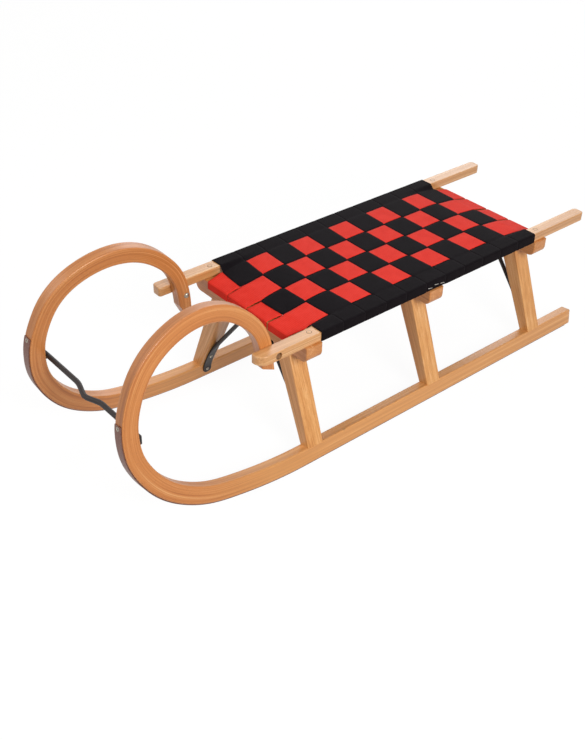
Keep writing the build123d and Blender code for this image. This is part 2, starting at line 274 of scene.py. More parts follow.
def bar(name, at, across, up, sizes, material, side=LEFT, round_ends=1.5, shift=0.0):
    """A solid bar along the places at, with sections (width, height, corner), and slightly rounded ends."""
    at, across, up = (list(np.asarray(v, float)) for v in (at, across, up))
    sizes = [tuple(s) for s in sizes]
    for end, inner in ((0, 1), (-1, -2)):
        way = unit(at[end] - at[inner])
        tip, end_across, end_up, (width, height, corner) = at[end].copy(), across[end], up[end], sizes[end]
        at[end] = tip - way * round_ends
        for turn in (math.radians(30), math.radians(60), math.radians(90)):
            inset = round_ends * (1 - math.cos(turn))
            row = (tip + way * (math.sin(turn) - 1) * round_ends, end_across, end_up,
                   (width - 2 * inset, height - 2 * inset, corner))
            for store, value in zip((at, across, up, sizes), row):
                store.insert(0 if end == 0 else len(store), value)
    at, across, up = np.array(at), unit(np.array(across)), unit(np.array(up))
    rings = np.array([outline(*s) for s in sizes])
    count = rings.shape[1]
    verts = at[:, None] + across[:, None] * rings[..., :1] + up[:, None] * rings[..., 1:]
    verts[..., 1] *= side
    grain = np.dstack([np.repeat(travelled(at)[:, None], count, 1) + shift, rings])
    return new_mesh(name, verts.reshape(-1, 3), tube_faces(len(at), count), material, grain.reshape(-1, 3))


def bent_path(corners, reach, steps=6):
    """Straight runs joined by smooth bends that start and end a little way from each corner."""
    corners = [np.array(c, float) for c in corners]
    path = [corners[0]]
    for before, corner, after in zip(corners, corners[1:], corners[2:]):
        a = corner + unit(before - corner) * min(reach, 0.45 * np.linalg.norm(before - corner))
        b = corner + unit(after - corner) * min(reach, 0.45 * np.linalg.norm(after - corner))
        for u in np.linspace(0, 1, steps + 1):
            path.append((1 - u)**2 * a + 2 * u * (1 - u) * corner + u**2 * b)
    path.append(corners[-1])
    return np.array(path)


def fill_in(path, step):
    """The path with more points on its long runs."""
    rows = [path[0]]
    for a, b in zip(path, path[1:]):
        n = max(1, int(np.linalg.norm(b - a) / step))
        rows += [a + (b - a) * k / n for k in range(1, n + 1)]
    return np.array(rows)


# ---------------------------------------------------------------- materials
def beech(name, tones, along=None, knots=(), gloss=0.25, paler_low_behind=None):
    """Beech, planed or steam-bent, under clear satin lacquer: a close straight grain in warm tan, fine
    darker lines and short flecks along it, and a soft sheen. Follows the stored grain, or one direction."""
    mat, tree = new_finish(name)
    spot = add(tree, "ShaderNodeTexCoord").outputs["Object"]
    if along is None:
        where = add(tree, "ShaderNodeAttribute", attribute_name="grain").outputs["Vector"]
    else:
        turn = Vector(along).normalized().rotation_difference(Vector((1, 0, 0))).to_euler()
        where = add(tree, "ShaderNodeMapping", {"Vector": spot, "Rotation": turn}).outputs["Vector"]

    def streaks(scale, detail, rough, bend=0.0):
        drawn = add(tree, "ShaderNodeMapping", {"Vector": where, "Scale": scale}).outputs["Vector"]
        return add(tree, "ShaderNodeTexNoise", {
            "Vector": drawn, "Scale": 1.0, "Detail": detail, "Roughness": rough,
            "Distortion": bend}).outputs["Fac"]

    # growth bands 5 to 12 mm apart, vessel lines 1 to 2 mm apart, and fibres under a millimetre across
    band = streaks((1.8, 75, 150), 3.0, 0.55, 0.3)
    line = streaks((5, 420, 520), 2.0, 0.5)
    fibre = streaks((14, 900, 1100), 4.0, 0.65)
    tone = 0.0
    for pattern, weight in ((band, 0.42), (line, 0.36), (fibre, 0.22)):
        tone = add(tree, "ShaderNodeMath", {0: pattern, 1: weight, 2: tone},
                   operation="MULTIPLY_ADD").outputs[0]
    dark, deep, mid, light = tones
    wood = add(tree, "ShaderNodeValToRGB", {"Fac": tone},
               stops=[(0.36, dark), (0.64, light), (0.45, deep), (0.54, mid)])
    # ray flecks, 2 to 4 mm long and half a millimetre across
    fleck = add(tree, "ShaderNodeMapRange", {
        "Value": streaks((260, 1500, 1500), 1.0, 0.5), "From Min": 0.62, "From Max": 0.74,
        "To Max": 0.35}).outputs["Result"]
    face = add(tree, "ShaderNodeMix", {0: fleck, 6: wood.outputs["Color"], 7: colour("#8a5a34")},
               data_type="RGBA", blend_type="MULTIPLY").outputs[2]
    # a knot is dark over 2 mm and has faded into the wood by 5 mm from its middle
    for knot in knots:
        gap = add(tree, "ShaderNodeVectorMath", {0: spot, 1: knot}, operation="DISTANCE").outputs["Value"]
        share = add(tree, "ShaderNodeMapRange", {
            "Value": gap, "From Min": 0.0022, "From Max": 0.0048, "To Min": 0.85,
            "To Max": 0.0}).outputs["Result"]
        face = add(tree, "ShaderNodeMix", {0: share, 6: face, 7: colour("#5c3218")},
                   data_type="RGBA").outputs[2]
    if paler_low_behind:
        # low down, the runner grows paler from 0.42 m back to 0.27 m
        split = add(tree, "ShaderNodeSeparateXYZ", {"Vector": spot})
        behind = add(tree, "ShaderNodeMapRange", {
            "Value": split.outputs["X"], "From Min": 0.42, "From Max": 0.27,
            "To Max": 0.32}).outputs["Result"]
        low = add(tree, "ShaderNodeMapRange", {
            "Value": split.outputs["Z"], "From Min": 0.12, "From Max": 0.08}).outputs["Result"]
        share = add(tree, "ShaderNodeMath", {0: behind, 1: low}, operation="MULTIPLY").outputs[0]
        face = add(tree, "ShaderNodeMix", {0: share, 6: face, 7: colour(paler_low_behind)},
                   data_type="RGBA").outputs[2]
    rough = add(tree, "ShaderNodeMapRange", {
        "Value": fibre, "To Min": 0.34, "To Max": 0.5}).outputs["Result"]
    bump = add(tree, "ShaderNodeBump", {"Height": tone, "Strength": 0.2, "Distance": 0.0003})
    skin = add(tree, "ShaderNodeBsdfPrincipled", {
        "Base Color": face, "Roughness": rough, "IOR": 1.5, "Normal": bump.outputs["Normal"],
        "Coat Weight": gloss, "Coat Roughness": 0.3, "Coat IOR": 1.5})
    add(tree, "ShaderNodeOutputMaterial", {"Surface": skin.outputs["BSDF"]})
    return mat


def webbing(name, face, dark, light, rough, gloss, rib):
    """Woven polypropylene webbing: flat shiny yarns in a tight ribbed weave, so fine ribs lie across the
    strap and shallow wales along it, with a dull, dry shine. The wales are drawn 1.7 mm apart, coarser than
    the real yarns, so that they show."""
    mat, tree = new_finish(name)
    where = add(tree, "ShaderNodeAttribute", attribute_name="grain").outputs["Vector"]
    split = add(tree, "ShaderNodeSeparateXYZ", {"Vector": where})
    waves = []
    for axis, pitch in (("X", rib), ("Y", 1.7)):
        turn = add(tree, "ShaderNodeMath", {0: split.outputs[axis], 1: 2 * math.pi / (pitch * MM)},
                   operation="MULTIPLY")
        waves.append(add(tree, "ShaderNodeMath", {0: turn.outputs[0]}, operation="SINE").outputs[0])
    ribs, wales = waves
    wales = add(tree, "ShaderNodeMath", {0: wales, 1: 0.4, 2: 0.6}, operation="MULTIPLY_ADD").outputs[0]
    knit = add(tree, "ShaderNodeMath", {0: ribs, 1: wales}, operation="MULTIPLY").outputs[0]
    # yarns 1 to 2 mm long, and paler and darker patches 20 mm across
    yarn_at = add(tree, "ShaderNodeMapping", {"Vector": where, "Scale": (500, 900, 400)}).outputs["Vector"]
    yarn = add(tree, "ShaderNodeTexNoise", {"Vector": yarn_at, "Scale": 1.0, "Detail": 3.0}).outputs["Fac"]
    cloud = add(tree, "ShaderNodeTexNoise", {"Vector": where, "Scale": 45.0, "Detail": 2.0}).outputs["Fac"]
    cloud = add(tree, "ShaderNodeMath", {0: cloud, 1: 0.3, 2: 0.35}, operation="MULTIPLY_ADD").outputs[0]
    height = add(tree, "ShaderNodeMath", {0: knit, 1: 0.5, 2: yarn}, operation="MULTIPLY_ADD").outputs[0]
    tone = add(tree, "ShaderNodeMath", {0: height, 1: 0.22, 2: cloud}, operation="MULTIPLY_ADD").outputs[0]
    paint = add(tree, "ShaderNodeValToRGB", {"Fac": tone}, stops=[(0.35, dark), (0.9, light), (0.6, face)])
    bump = add(tree, "ShaderNodeBump", {"Height": height, "Strength": 0.7, "Distance": 0.0003})
    skin = add(tree, "ShaderNodeBsdfPrincipled", {
        "Base Color": paint.outputs["Color"], "Roughness": rough, "IOR": 1.49,
        "Normal": bump.outputs["Normal"], "Specular IOR Level": gloss})
    add(tree, "ShaderNodeOutputMaterial", {"Surface": skin.outputs["BSDF"]})
    return mat


def steel(name, base, worn, metallic, rough, streak, amount, coat=0.0):
    """A steel surface: an even tone broken by scale, rubbed spots or drawing lines, and uneven gloss."""
    mat, tree = new_finish(name)
    where = add(tree, "ShaderNodeTexCoord").outputs["Object"]
    spread = add(tree, "ShaderNodeMapping", {"Vector": where, "Scale": streak}).outputs["Vector"]
    patch = add(tree, "ShaderNodeTexNoise", {
        "Vector": spread, "Scale": 1.0, "Detail": 4.0, "Roughness": 0.6}).outputs["Fac"]
    grit = add(tree, "ShaderNodeTexNoise", {"Vector": where, "Scale": 1400.0, "Detail": 2.0}).outputs["Fac"]
    share = add(tree, "ShaderNodeMapRange", {
        "Value": patch, "From Min": 0.4, "From Max": 0.7, "To Max": amount}).outputs["Result"]
    paint = add(tree, "ShaderNodeMix", {0: share, 6: colour(base), 7: colour(worn)}, data_type="RGBA")
    gloss = add(tree, "ShaderNodeMapRange", {"Value": patch, "To Min": rough - 0.1, "To Max": rough + 0.12})
    bump = add(tree, "ShaderNodeBump", {"Height": grit, "Strength": 0.25, "Distance": 0.0001})
    skin = add(tree, "ShaderNodeBsdfPrincipled", {
        "Base Color": paint.outputs[2], "Metallic": metallic, "Roughness": gloss.outputs["Result"],
        "Normal": bump.outputs["Normal"], "Coat Weight": coat, "Coat Roughness": 0.2})
    add(tree, "ShaderNodeOutputMaterial", {"Surface": skin.outputs["BSDF"]})
    return mat


# Steam-bent beech: its grain follows the horns round, red-brown in the bend, with two small knots.
KNOTS = [(0.3412, 0.1291, 0.3671), (0.107, 0.1706, 0.0378)]
beech_bent = beech("beech_steam_bent_lacquered", ("#a8622c", "#be7539", "#cd8547", "#e0a66c"), knots=KNOTS,
                   paler_low_behind="#f5be76")
# Planed beech: straight grain along each rail, beam and leg. The rails are palest and have most lacquer.
beech_rail = beech("beech_planed_rail_lacquered", ("#b57c46", "#c89056", "#d69e66", "#e8c392"), (1, 0, 0),
                   gloss=0.6)
beech_beam = beech("beech_planed_beam_lacquered", ("#b06c33", "#c27d3f", "#ce8a4d", "#dea872"), (0, 1, 0))
beech_leg = {side_name: beech(f"beech_sawn_leg_{side_name}", ("#bf7b3e", "#d1904e", "#dfa362", "#edbd88"),
                              (0, -0.42 * side, 0.907)) for side_name, side in SIDES}
# Dowel plugs: end grain, so a shade darker than the rail. The gap round them and the horn bolts' recesses get
# nearly black beech: painted shade.
beech_plug = beech("beech_dowel_plug", ("#b98450", "#cb9762", "#d8a878", "#e6bf96"), (0, 0, 1))
beech_painted_shade = beech("beech_plug_in_shadow", ("#4e2f14", "#64401e", "#7a5128", "#8c6236"), (0, 1, 0))
# Polypropylene webbing: soft black, and a clear signal red with a little more shine.
webbing_black = webbing("polypropylene_webbing_black", "#110d10", "#080608", "#1c171b", 0.7, 0.05, RIB_BLACK)
webbing_red = webbing("polypropylene_webbing_red", "#e43428", "#cc2418", "#ee463a", 0.6, 0.1, RIB_RED)
# Hot-rolled strip: brown-grey mill scale, rubbed brighter in streaks along its length.
steel_strip = steel("steel_strip_hot_rolled", "#745047", "#927468", 0.85, 0.42, (8, 300, 300), 0.6)
# Bar forged flat at its ends, under thin satin black lacquer: nearly black, with browner worn patches.
steel_black = steel("steel_bar_black_lacquered", "#1a1312", "#2c1f1c", 0.1, 0.55, (80, 80, 80), 0.5, 0.05)
# Zinc plating on screws and bolts: a warm mid grey with uneven shine.
steel_zinc = steel("steel_zinc_plated", "#a39b8e", "#847c70", 1.0, 0.3, (300, 300, 300), 0.5)
# Galvanised wire: paler and plainer, so that the staples catch the light against the webbing.
steel_staple = steel("steel_wire_staple_galvanised", "#d2cdc6", "#b8b2aa", 1.0, 0.35, (300, 300, 300), 0.4)


# ---------------------------------------------------------------- runners and horns
def on_runner(x, h, inward=0.0):
    """A place on the left runner's middle plane, at height h from its sole."""
    return SOLE + np.array([x, 0, 0]) + UP * h - OUT * (RUNNER_W / 2) - np.array([0, inward, 0])


bend_at, bend_way = smooth_line([on_runner(*p) for p in HORN_LINE], (1, 0, 0), HORN_END_WAY)
FIRST_BEND = STRAIGHT_ROWS
straight_x = np.linspace(RUNNER_REAR_X, STRAIGHT_END_X, STRAIGHT_ROWS, endpoint=False)
straight_at = np.array([on_runner(x, RUNNER_H / 2) for x in straight_x])
bend_share = np.linspace(0, 1, len(bend_at))
bend_lean = LEAN * (1 - ramp(bend_share, UPRIGHT_FROM, UPRIGHT_OVER))
bend_across = np.stack([0 * bend_lean, np.cos(bend_lean), np.sin(bend_lean)], 1)
bend_across = unit(bend_across - bend_way * (bend_across * bend_way).sum(1, keepdims=True))
horn_at = np.concatenate([straight_at, bend_at])
horn_way = np.concatenate([np.tile([1.0, 0, 0], (STRAIGHT_ROWS, 1)), bend_way])
horn_across = np.concatenate([np.tile(OUT, (STRAIGHT_ROWS, 1)), bend_across])
horn_up = unit(np.cross(horn_way, horn_across))
horn_depth = np.concatenate([np.full(STRAIGHT_ROWS, RUNNER_H), np.interp(bend_share, *HORN_DEPTHS)])


def horn_index(z):
    """Where on the rising front of the bend the horn's middle is z high."""
    low, high = (FIRST_BEND + int(share * len(bend_at)) for share in (0.3, 0.6))
    return low + int(np.argmin(abs(horn_at[low:high, 2] - z)))


def outer_rim(row, proud):
    """A place on the shoe's outer face, or a little below it."""
    return horn_at[row] - horn_up[row] * (horn_depth[row] / 2 + SHOE_T - proud)


def inner_rim(row):
    return horn_at[row] + horn_up[row] * horn_depth[row] / 2


for side_name, side in SIDES:
    runner = bar(f"bent_runner_{side_name}", horn_at, horn_across, horn_up,
                 [(RUNNER_W, depth, RUNNER_EDGE) for depth in horn_depth], beech_bent, side, 1.6,
                 OTHER_BOARD * (side == RIGHT))
    # the end of the horn lies flat against the seat rail, and its tip is sawn off
    work = bmesh.new()
    work.from_mesh(runner.data)
    horn_end = [v for v in work.verts if HORN_END_X[0] * MM < v.co.x < HORN_END_X[1] * MM
                and HORN_END_Z[0] * MM < v.co.z < HORN_END_Z[1] * MM]
    for v in horn_end:
        v.co.y = side * min(side * v.co.y, (RAIL_IN - 0.05) * MM)
    inside = set(horn_end)
    to_saw = horn_end + [part for part in [*work.edges, *work.faces] if set(part.verts) <= inside]
    (x0, z0), (x1, z1) = HORN_CUTS[side]
    bmesh.ops.bisect_plane(work, geom=to_saw, plane_co=(x0 * MM, 0, z0 * MM),
                           plane_no=(z1 - z0, 0, x0 - x1), clear_outer=True)
    bmesh.ops.holes_fill(work, edges=[e for e in work.edges if e.is_boundary])
    work.to_mesh(runner.data)
    work.free()
    runner.data.set_sharp_from_angle(angle=math.radians(35))
    place_on_sled(runner, "beech", f"runner_{side_name}")

    # steel shoe under the runner and up the front of the horn
    strip_at = horn_at - horn_up * (horn_depth[:, None] / 2 + SHOE_T / 2 - SHOE_SUNK)
    above_shoe = strip_at[FIRST_BEND:, 2] > SHOE_TOP[side_name] - 0.5
    rows = slice(1, FIRST_BEND + int(np.argmax(above_shoe)))
    shoe_at = strip_at[rows]
    shoe = bar(f"shoe_strip_{side_name}", shoe_at, horn_across[rows], horn_up[rows],
               [(SHOE_W, SHOE_T, 0.7)] * len(shoe_at), steel_strip, side, 0.6)
    place_on_sled(shoe, "shoe_steel", f"runner_shoe_{side_name}")

# ---------------------------------------------------------------- pull rod between the horns
rod_end = inner_rim(horn_index(ROD_Z))
rod_x = rod_end[0] - ROD_D / 2 + 0.4
pad_end = rod_end[1] + PAD_PAST_HORN
corners = [(rod_x, -pad_end, ROD_Z), (rod_x, -ROD_BEND_HALF, ROD_Z), (rod_x + ROD_BEND, 0, ROD_Z - ROD_SAG),
           (rod_x, ROD_BEND_HALF, ROD_Z), (rod_x, pad_end, ROD_Z)]
rod_at = fill_in(bent_path(corners, ROD_RADIUS), 2.0)
rod_way = directions(rod_at)
pad = eased(ramp(abs(rod_at[:, 1]), pad_end - PAD_L - PAD_TAPER, PAD_TAPER))
rod_at[:, 0] += pad * (rod_end[0] - 0.3 - PAD_T / 2 - rod_x)
rod_sizes = [(ROD_D + (PAD_H - ROD_D) * f, ROD_D + (PAD_T - ROD_D) * f, ROD_D / 2 * (1 - f) + 1.2 * f)
             for f in pad]
rod_across = np.tile([0.0, 0, 1], (len(rod_at), 1))
rod = bar("pull_rod_forged", rod_at, rod_across, np.cross(rod_way, rod_across), rod_sizes, steel_black, LEFT,
          1.0)
place_on_sled(rod, "black_steel", "pull_rod")

# ---------------------------------------------------------------- braces
foot_in = on_runner(0, RUNNER_H) - OUT * (RUNNER_W / 2 + 0.5)
up_leg = unit(np.array([0, LEG_TOP_IN - foot_in[1], BEAM_BOTTOM - foot_in[2]]))
off_leg = np.array([0, -up_leg[2], up_leg[1]])
tab_off = TAB_T / 2 + TAB_CLEAR
tab_low = foot_in - UP * TAB_BELOW - OUT * tab_off
tab_knee = foot_in + off_leg * tab_off
tab_top = tab_knee + up_leg * TAB_ABOVE
rod_top_z = BEAM_BOTTOM - BRACE_D / 2 - 0.2
corners = [tab_low, tab_knee, tab_top, LEAVES_LEG, (0, BEAM_PAD_Y, rod_top_z), (0, BEAM_END_Y, rod_top_z)]
brace_line = fill_in(bent_path(corners, 16), 1.5)
brace_far = travelled(brace_line)
brace_way = directions(brace_line)
# flat and wide over the screws, then forged down to a round bar, and flattened again under the beam
roundness = eased(ramp(brace_far, FORGED_FROM, FORGED_OVER))
tab_tip = np.sqrt(np.clip(1 - (1 - ramp(brace_far, 0, TAB_ROUND))**2, 0.06, 1))
top_flat = ramp(brace_far, brace_far[-1] - TOP_PAD_L, TOP_PAD_TAPER)
brace_sizes = []
for r, t, f in zip(roundness, tab_tip, top_flat):
    width = (TAB_W + (BRACE_D - TAB_W) * r) * t + 5.0 * f
    thick = TAB_T + (BRACE_D - TAB_T) * r - 4.0 * f
    brace_sizes.append((width, thick, thick / 2 * max(r - f, 0) + 0.8))
for place in ("front", "rear"):
    for side_name, side in SIDES:
        forward = FOOT_SHIFT[place] + (LEFT_BRACE_SHIFT if side == LEFT else 0)
        at = brace_line + np.array([TRESTLE_X[place], 0, 0])
        at[:, 0] += forward * (1 - brace_far / brace_far[-1])
        at[:, 2] += top_flat * TOP_PAD_LIFT
        across = np.tile([1.0, 0, 0], (len(at), 1))
        brace = bar(f"brace_rod_{place}_{side_name}", at, across, np.cross(brace_way, across), brace_sizes,
                    steel_black, side, 0.8)
        place_on_sled(brace, "black_steel", f"brace_{place}_{side_name}")

# ---------------------------------------------------------------- finishes of the rails, beams and legs
finishes = {f"crossbeam_{place}": beech_beam for place in BEAMS}
for side_name, _ in SIDES:
    finishes.update({f"seat_rail_{side_name}": beech_rail, f"horn_bolt_{side_name}": steel_zinc})
    finishes.update({f"leg_{place}_{side_name}": beech_leg[side_name] for place in BEAMS})
for node, finish in finishes.items():
    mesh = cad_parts[node].data
    mesh.materials.clear()
    mesh.materials.append(finish)

# ---------------------------------------------------------------- webbing
CROSS_X = [WEB_FRONT_X - (i + 0.5) * CROSS_PITCH for i in range(CROSS_COUNT)]
LONG_Y = [LONG_MID_Y + (j - (LONG_COUNT - 1) / 2) * LONG_PITCH for j in range(LONG_COUNT)]
WEB_REAR_X = CROSS_X[-1] - CROSS_PITCH / 2
MIDDLE_STRAP = min(range(CROSS_COUNT), key=lambda i: abs(CROSS_X[i] - TRESTLE_X["middle"]))
SPREAD = np.linspace(-1, 1, 17)         # places across a strap, from one selvedge to the other


def hat(distance, half, soft):
    """1 within half of the middle, 0 outside, with a soft step between."""
    return 0.5 * (np.tanh((half - abs(distance)) / soft) + 1)


def lead_in(y):
    """0 over the rails, rising to 1 a little way in from them."""
    return np.clip((RAIL_IN - abs(y)) / LEAD_IN, 0, 1)


def droop(x, y):
    """How far the red straps pull the front and rear of the seat down towards the beams."""
    front, rear = (np.clip(1 - from_edge / DROOP_REACH, 0, DROOP_PAST)**DROOP_POWER
                   for from_edge in (WEB_FRONT_X - x, x - WEB_REAR_X))
    return (front * DROOP_FRONT + rear * DROOP_REAR) * eased(lead_in(y))


def bow(x, y):
    """How far forward the middles of the cross straps are drawn, most in the front of the seat."""
    drawn = BOW + BOW_FRONT * np.minimum(1, np.exp((x - BOW_FRONT_X) / BOW_FADE))
    return drawn * np.clip(1 - (y / RAIL_IN)**2, 0, 1) * (1 - BOW_TILT * y / RAIL_IN)


def on_top(i, j):
    """1 where cross strap i passes over long strap j, and -1 where it passes under."""
    return 1 if (i + j) % 2 == 0 else -1


def cross_rise(i, y):
    """1 where cross strap i passes over a red strap and -1 where it passes under one."""
    return sum(on_top(i, j) * hat(y - LONG_Y[j], LONG_W / 2 + 1.5, SOFT_CROSS) for j in range(LONG_COUNT))


def cross_height(i, x, y):
    """Middle height of cross strap i between the rails."""
    over_rail = STRAP_T / 2 + 0.1 + RAIL_TOP - WEAVE_Z
    near_rail = ramp(abs(y), REST_Y, REST_OVER)
    return WEAVE_Z + LIFT * cross_rise(i, y) * (1 - near_rail) + over_rail * near_rail - droop(x, y)


def long_height(j, x, y):
    """Middle height of long strap j where it runs through the cross straps."""
    rise = sum(-on_top(i, j) * hat(x - bow(x, y) - CROSS_X[i], CROSS_W / 2 + 0.3, SOFT_LONG)
               for i in range(CROSS_COUNT))
    return WEAVE_Z + LIFT * rise - droop(x, y)


def strap(name, surface, material, rib, rib_pitch, thick):
    """A closed strap of cloth around a grid of points (along, across), thinner at its selvedges."""
    n, m, _ = surface.shape
    normal = unit(np.cross(np.gradient(surface, axis=0), np.gradient(surface, axis=1)))
    share = np.linspace(-1, 1, m)
    half = thick / 2 * (1 - 0.42 * abs(share)**14)
    far = travelled(surface[:, m // 2])
    ribs = rib * np.sin(2 * math.pi * far / rib_pitch)[:, None, None] * (1 - abs(share)**10)[None, :, None]
    rise = normal * (half[None, :, None] + ribs)
    top, under = surface + rise, surface - rise
    side_way = unit(np.gradient(surface, axis=1))
    left = surface[:, :1] - side_way[:, :1] * 0.3
    right = surface[:, -1:] + side_way[:, -1:] * 0.3
    loop = np.concatenate([top, right, under[:, ::-1], left], axis=1)
    count = loop.shape[1]
    width = np.linalg.norm(surface[:, -1] - surface[:, 0], axis=1).mean()
    along = np.repeat(far[:, None], count, 1)
    side = np.concatenate([share, [1.02], share[::-1], [-1.02]]) * width / 2
    layer = np.concatenate([np.ones(m), [0], -np.ones(m), [0]])
    grain = np.dstack([along, np.tile(side, (n, 1)), np.tile(layer, (n, 1))])
    piece = new_mesh(name, loop.reshape(-1, 3), tube_faces(n, count), material, grain.reshape(-1, 3), 60)
    return piece, width * MM, far[-1] * MM


OFF = STRAP_T / 2 + 0.15                # from the wood to the middle of the strap on it
out_y, top_z, low_z = RAIL_OUT + OFF, RAIL_TOP + OFF, RAIL_BOTTOM - OFF
for i, x_mid in enumerate(CROSS_X):
    # from its stapled end under the rail, or on the rail's side at the middle trestle, up and over its top
    if i == MIDDLE_STRAP:
        corners = [(0, out_y, RAIL_BOTTOM + 1.5), (0, out_y, top_z), (0, RAIL_IN, top_z)]
    else:
        corners = [(0, RAIL_IN + 3, low_z), (0, out_y, low_z), (0, out_y, top_z), (0, RAIL_IN, top_z)]
    wrap = fill_in(bent_path(corners, RAIL_FOLD, 8), 1.2)
    span_y = np.arange(RAIL_IN - CROSS_STEP, -RAIL_IN + CROSS_STEP / 2, -CROSS_STEP)
    y_all = np.concatenate([wrap[:, 1], span_y, -wrap[::-1, 1]])
    z_wrap = np.concatenate([wrap[:, 2], span_y * 0, wrap[::-1, 2]])
    on_span = np.concatenate([wrap[:, 0] * 0, span_y * 0 + 1, wrap[:, 0] * 0]) > 0.5
    # between the red straps and beside the rails, the foremost strap's free edge dips
    free = (1 - abs(cross_rise(i, y_all))) * lead_in(y_all) if i == 0 else 0
    wide = CROSS_W + PRESSED_WIDER * np.clip(cross_rise(i, y_all), 0, 1) * on_span
    grid = np.zeros((len(y_all), len(SPREAD), 3))
    for k, s in enumerate(SPREAD):
        x = x_mid + s * wide / 2
        x = x + bow(x, y_all)
        dip = free * ramp(s, 0.4, 0.6)**2
        grid[:, k, 0] = x
        grid[:, k, 1] = y_all
        grid[:, k, 2] = np.where(on_span, cross_height(i, x, y_all) - dip, z_wrap)
    piece, width, length = strap(f"cross_webbing_{i + 1:02d}", grid, webbing_black, RIB_H_BLACK, RIB_BLACK,
                                 STRAP_T)
    place_on_sled(piece, "black_webbing", f"cross_strap_{i + 1:02d}")

front_x, rear_x = BEAMS["front"][1][0] + OFF, BEAMS["rear"][0][0] - OFF
start_x, stop_x = WEB_FRONT_X + LONG_LEAD_FRONT, WEB_REAR_X + LONG_LEAD_REAR
for j, y_mid in enumerate(LONG_Y):
    # from its stapled end on one beam's outer face, over the beam and into the weave, and the same behind
    ends = []
    for end_x, lead_x in ((front_x, start_x), (rear_x, stop_x)):
        corners = [(end_x, 0, BEAM_TOP - FOLD_DROP), (end_x, 0, BEAM_TOP + OFF + 0.3),
                   (lead_x, 0, long_height(j, lead_x, y_mid))]
        ends.append(fill_in(bent_path(corners, BEAM_FOLD, 8), 0.8)[:-1])
    front, rear = ends
    span_x = np.arange(start_x, stop_x, -LONG_STEP)
    x_all = np.concatenate([front[:, 0], span_x, rear[::-1, 0]])
    z_fold = np.concatenate([front[:, 2], span_x * 0, rear[::-1, 2]])
    on_span = np.concatenate([front[:, 0] * 0, span_x * 0 + 1, rear[:, 0] * 0]) > 0.5
    draw_in = ramp(x_all, start_x, front_x - start_x) * FOLD_SHIFT[j]
    wide = LONG_W + PRESSED_WIDER * np.exp(-((x_all - WEB_FRONT_X - 6) / 8)**2)
    grid = np.zeros((len(x_all), len(SPREAD), 3))
    for k, s in enumerate(SPREAD):
        flare = FLARE * ramp(x_all, FLARE_X, FLARE_OVER) * (1 - s) / 2 if j == 0 else 0
        grid[:, k, 0] = x_all
        grid[:, k, 1] = y_mid + s * wide / 2 + draw_in - flare
        grid[:, k, 2] = np.where(on_span, long_height(j, x_all, y_mid), z_fold)
    piece, width, length = strap(f"long_webbing_{j + 1}", grid, webbing_red, RIB_H_RED, RIB_RED, LONG_T)
    place_on_sled(piece, "red_webbing", f"long_strap_{j + 1}")


# ---------------------------------------------------------------- screws, plugs, nuts and staples
RECESS_HALF, RECESS_REACH = 0.45, 2.4       # half the width of a screw's cross recess, and its arms' length


def lathe(name, profile, material, turns=32, cross=0.0):
    """A small turned head from a profile of (radius, height) in mm, with a cross recess if asked."""
    verts = []
    for r, z in profile:
        for k in range(turns):
            a = 2 * math.pi * k / turns
            x, y = r * math.cos(a), r * math.sin(a)
            in_recess = min(abs(x), abs(y)) < RECESS_HALF and math.hypot(x, y) < RECESS_REACH and z > 0
            verts.append((x, y, z - cross * in_recess))
    return new_mesh(name, verts, tube_faces(len(profile), turns), material, angle=40)


def fixing_tree():
    """Geometry nodes: one fixing on every point, turned to the point's own direction."""
    tree = bpy.data.node_groups.new("row_of_fixings", "GeometryNodeTree")
    sockets = {}
    for name, kind in (("Points", "NodeSocketGeometry"), ("Fixing", "NodeSocketObject"),
                       ("Size", "NodeSocketFloat"), ("Turn seed", "NodeSocketInt"),
                       ("Random turn", "NodeSocketFloat"), ("Finish", "NodeSocketMaterial")):
        sockets[name] = tree.interface.new_socket(name, in_out="INPUT", socket_type=kind).identifier
    tree.interface.new_socket("Geometry", in_out="OUTPUT", socket_type="NodeSocketGeometry")
    given = add(tree, "NodeGroupInput").outputs
    shape = add(tree, "GeometryNodeObjectInfo", {"Object": given["Fixing"]})
    way = add(tree, "GeometryNodeInputNamedAttribute", {"Name": "way"}, data_type="FLOAT_VECTOR")
    hold = add(tree, "GeometryNodeInputNamedAttribute", {"Name": "hold"}, data_type="FLOAT_VECTOR")
    aim = add(tree, "FunctionNodeAlignRotationToVector", {"Vector": way.outputs["Attribute"]}, axis="Z")
    lie = add(tree, "FunctionNodeAlignRotationToVector",
              {"Rotation": aim.outputs["Rotation"], "Vector": hold.outputs["Attribute"]},
              axis="X", pivot_axis="Z")
    chance = add(tree, "FunctionNodeRandomValue", {"Max": given["Random turn"], "Seed": given["Turn seed"]},
                 data_type="FLOAT")
    spin = add(tree, "ShaderNodeCombineXYZ", {"Z": chance.outputs[1]})
    turned = add(tree, "FunctionNodeRotateRotation",
                 {"Rotation": lie.outputs["Rotation"], "Rotate By": spin.outputs["Vector"]},
                 rotation_space="LOCAL")
    spots = add(tree, "GeometryNodeMeshToPoints", {"Mesh": given["Points"]})
    rows = add(tree, "GeometryNodeInstanceOnPoints",
               {"Points": spots.outputs["Points"], "Instance": shape.outputs["Geometry"],
                "Rotation": turned.outputs["Rotation"], "Scale": given["Size"]})
    real = add(tree, "GeometryNodeRealizeInstances", {"Geometry": rows.outputs["Instances"]})
    done = add(tree, "GeometryNodeSetMaterial",
               {"Geometry": real.outputs["Geometry"], "Material": given["Finish"]})
    add(tree, "NodeGroupOutput", {"Geometry": done.outputs["Geometry"]})
    return tree, sockets


FIXINGS, FIXING_SOCKETS = fixing_tree()


